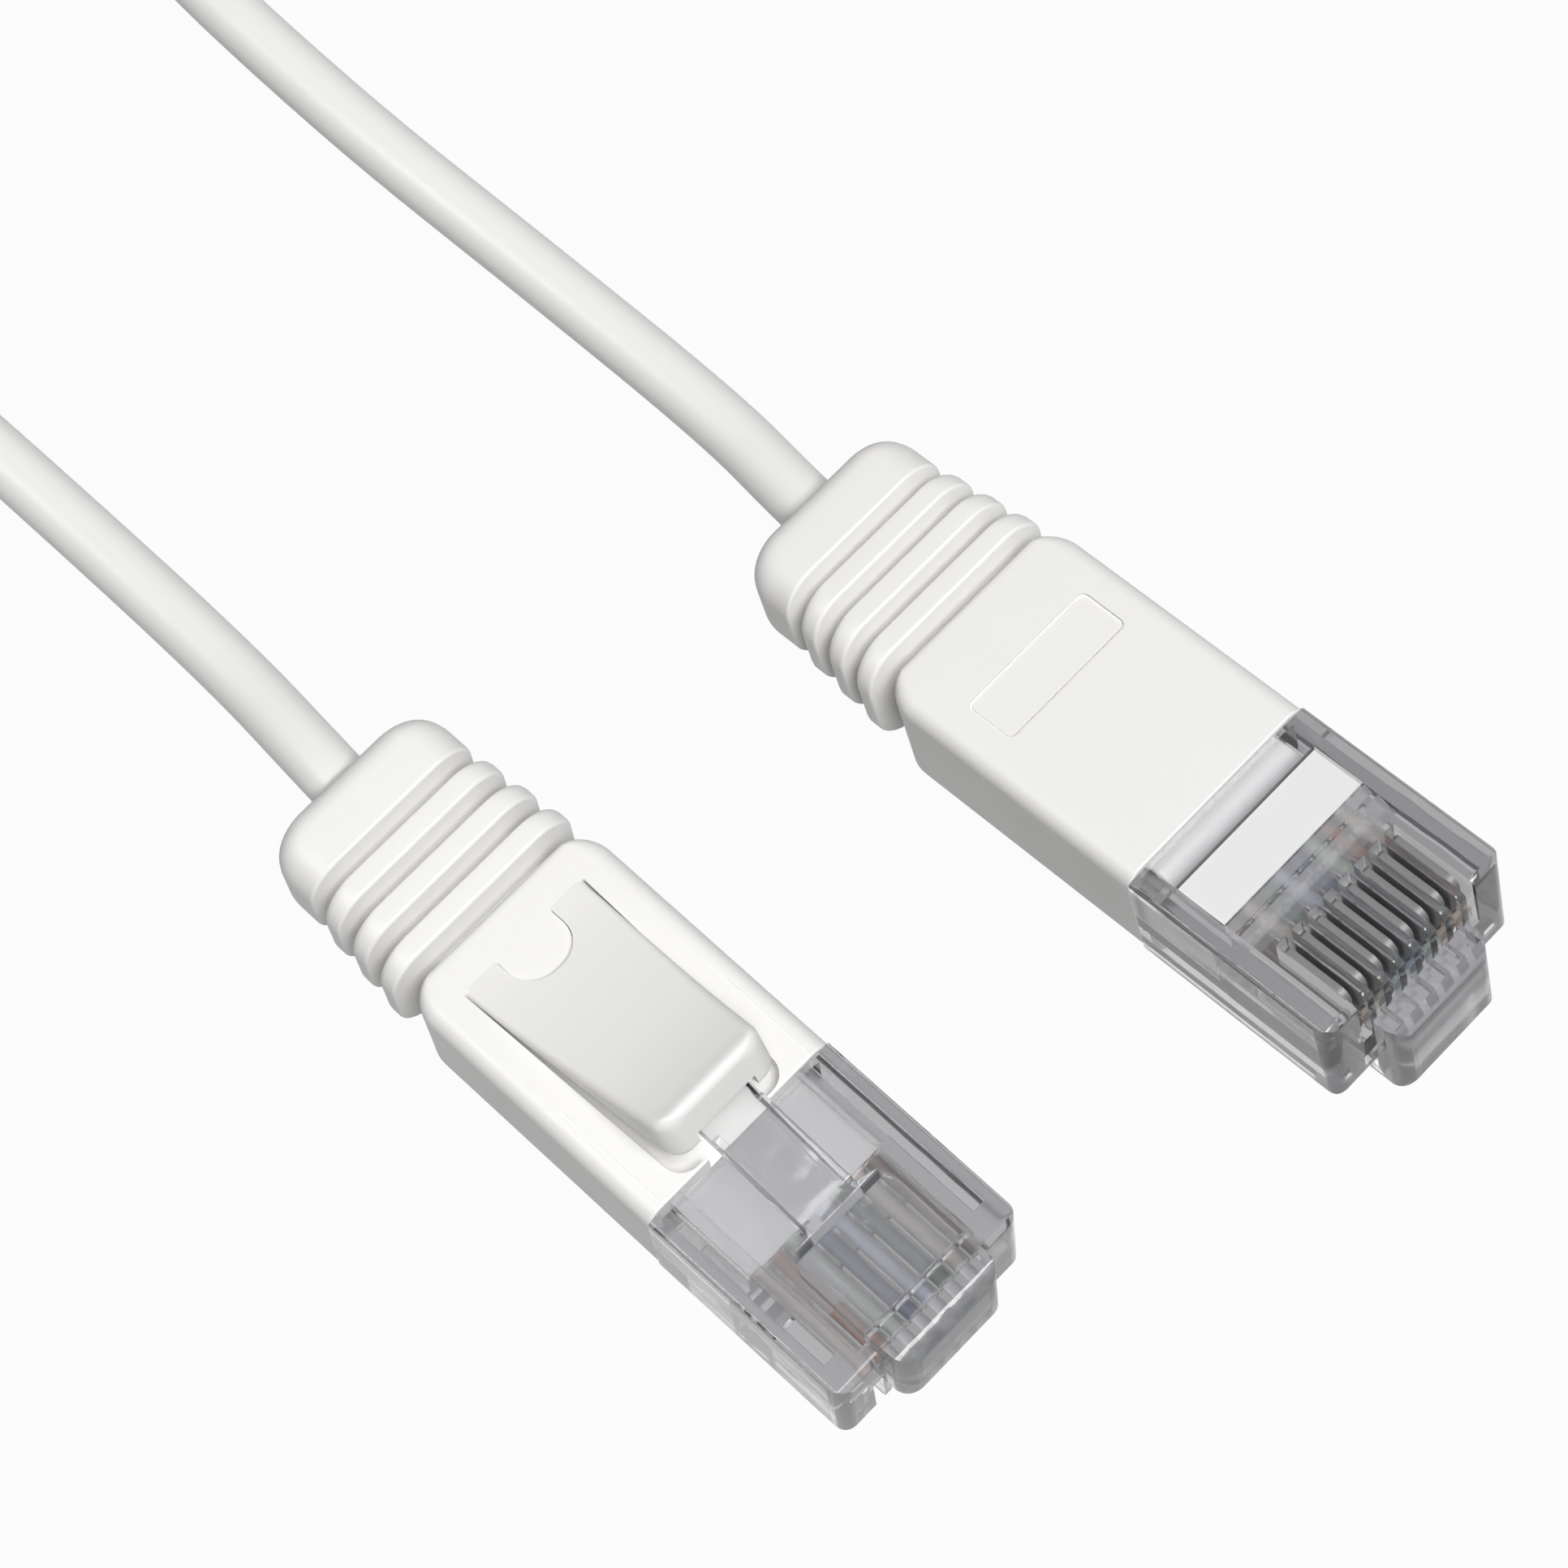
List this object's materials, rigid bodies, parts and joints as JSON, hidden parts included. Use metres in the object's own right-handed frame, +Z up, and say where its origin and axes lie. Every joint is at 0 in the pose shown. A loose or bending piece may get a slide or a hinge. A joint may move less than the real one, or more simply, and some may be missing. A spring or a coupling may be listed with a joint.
{
  "type": "ethernet patch cable",
  "caption": "Slim network patch cable: modular plugs in snagless ribbed boots at both ends of a thin white cord, with press tabs over the latches.",
  "frame": {"origin": "on the surface that the object lies on, under the middle of the two plugs' bounding box", "axes": "+X from plug b to plug a, +Y from the plugs' noses back to the cord, +Z up"},
  "size_m": [0.0452, 0.1431, 0.0131],
  "materials": {
    "clear_plastic": "moulded clear polycarbonate",
    "boot_plastic": "moulded soft plastic, satin",
    "strain_relief": "moulded plastic, matt",
    "contact_metal": "gold-plated stamped contact",
    "cord_jacket": "extruded PVC, satin",
    "wire_white_orange": "extruded insulation",
    "wire_orange": "extruded insulation",
    "wire_white_green": "extruded insulation",
    "wire_blue": "extruded insulation",
    "wire_white_blue": "extruded insulation",
    "wire_green": "extruded insulation",
    "wire_white_brown": "extruded insulation",
    "wire_brown": "extruded insulation"
  },
  "bodies": {
    "cord_and_plugs": {"cable_a": "cord_jacket", "cable_b": "cord_jacket", "coil": "cord_jacket", "plug_a_housing": "clear_plastic", "plug_a_boot": "boot_plastic", "plug_a_inner_mould": "strain_relief", "plug_a_contact_1": "contact_metal", "plug_a_wire_1": "wire_white_orange", "plug_a_contact_2": "contact_metal", "plug_a_wire_2": "wire_orange", "plug_a_contact_3": "contact_metal", "plug_a_wire_3": "wire_white_green", "plug_a_contact_4": "contact_metal", "plug_a_wire_4": "wire_blue", "plug_a_contact_5": "contact_metal", "plug_a_wire_5": "wire_white_blue", "plug_a_contact_6": "contact_metal", "plug_a_wire_6": "wire_green", "plug_a_contact_7": "contact_metal", "plug_a_wire_7": "wire_white_brown", "plug_a_contact_8": "contact_metal", "plug_a_wire_8": "wire_brown", "plug_b_housing": "clear_plastic", "plug_b_boot": "boot_plastic", "plug_b_inner_mould": "strain_relief", "plug_b_contact_1": "contact_metal", "plug_b_wire_1": "wire_white_orange", "plug_b_contact_2": "contact_metal", "plug_b_wire_2": "wire_orange", "plug_b_contact_3": "contact_metal", "plug_b_wire_3": "wire_white_green", "plug_b_contact_4": "contact_metal", "plug_b_wire_4": "wire_blue", "plug_b_contact_5": "contact_metal", "plug_b_wire_5": "wire_white_blue", "plug_b_contact_6": "contact_metal", "plug_b_wire_6": "wire_green", "plug_b_contact_7": "contact_metal", "plug_b_wire_7": "wire_white_brown", "plug_b_contact_8": "contact_metal", "plug_b_wire_8": "wire_brown"},
    "press_tab_a": {"plug_a_press_tab": "boot_plastic"},
    "latch_a": {"plug_a_latch": "clear_plastic"},
    "press_tab_b": {"plug_b_press_tab": "boot_plastic"},
    "latch_b": {"plug_b_latch": "clear_plastic"}
  },
  "joints": [
    {"name": "press_tab_a_flex", "type": "hinge", "parent": "cord_and_plugs", "child": "press_tab_a", "pos_m": [0.01251, 0.00355, 0.0031], "axis": [-1, 0, 0], "range_deg": [0, 10], "stiffness_Nm_per_rad": 0.3},
    {"name": "latch_a_flex", "type": "hinge", "parent": "cord_and_plugs", "child": "latch_a", "pos_m": [0.01251, -0.02057, 0.00622], "axis": [1, 0, 0], "range_deg": [0, 11.3], "stiffness_Nm_per_rad": 0.15},
    {"name": "press_tab_b_flex", "type": "hinge", "parent": "cord_and_plugs", "child": "press_tab_b", "pos_m": [-0.01251, 0.01068, 0.00625], "axis": [1, 0, 0], "range_deg": [0, 10], "stiffness_Nm_per_rad": 0.3},
    {"name": "latch_b_flex", "type": "hinge", "parent": "cord_and_plugs", "child": "latch_b", "pos_m": [-0.01251, -0.01362, 0.00715], "axis": [-1, 0, 0], "range_deg": [0, 11.3], "stiffness_Nm_per_rad": 0.15}
  ],
  "couplings": [
    {"joint": "latch_a_flex", "follows": "press_tab_a_flex", "ratio": 1.12},
    {"joint": "latch_b_flex", "follows": "press_tab_b_flex", "ratio": 1.12}
  ]
}
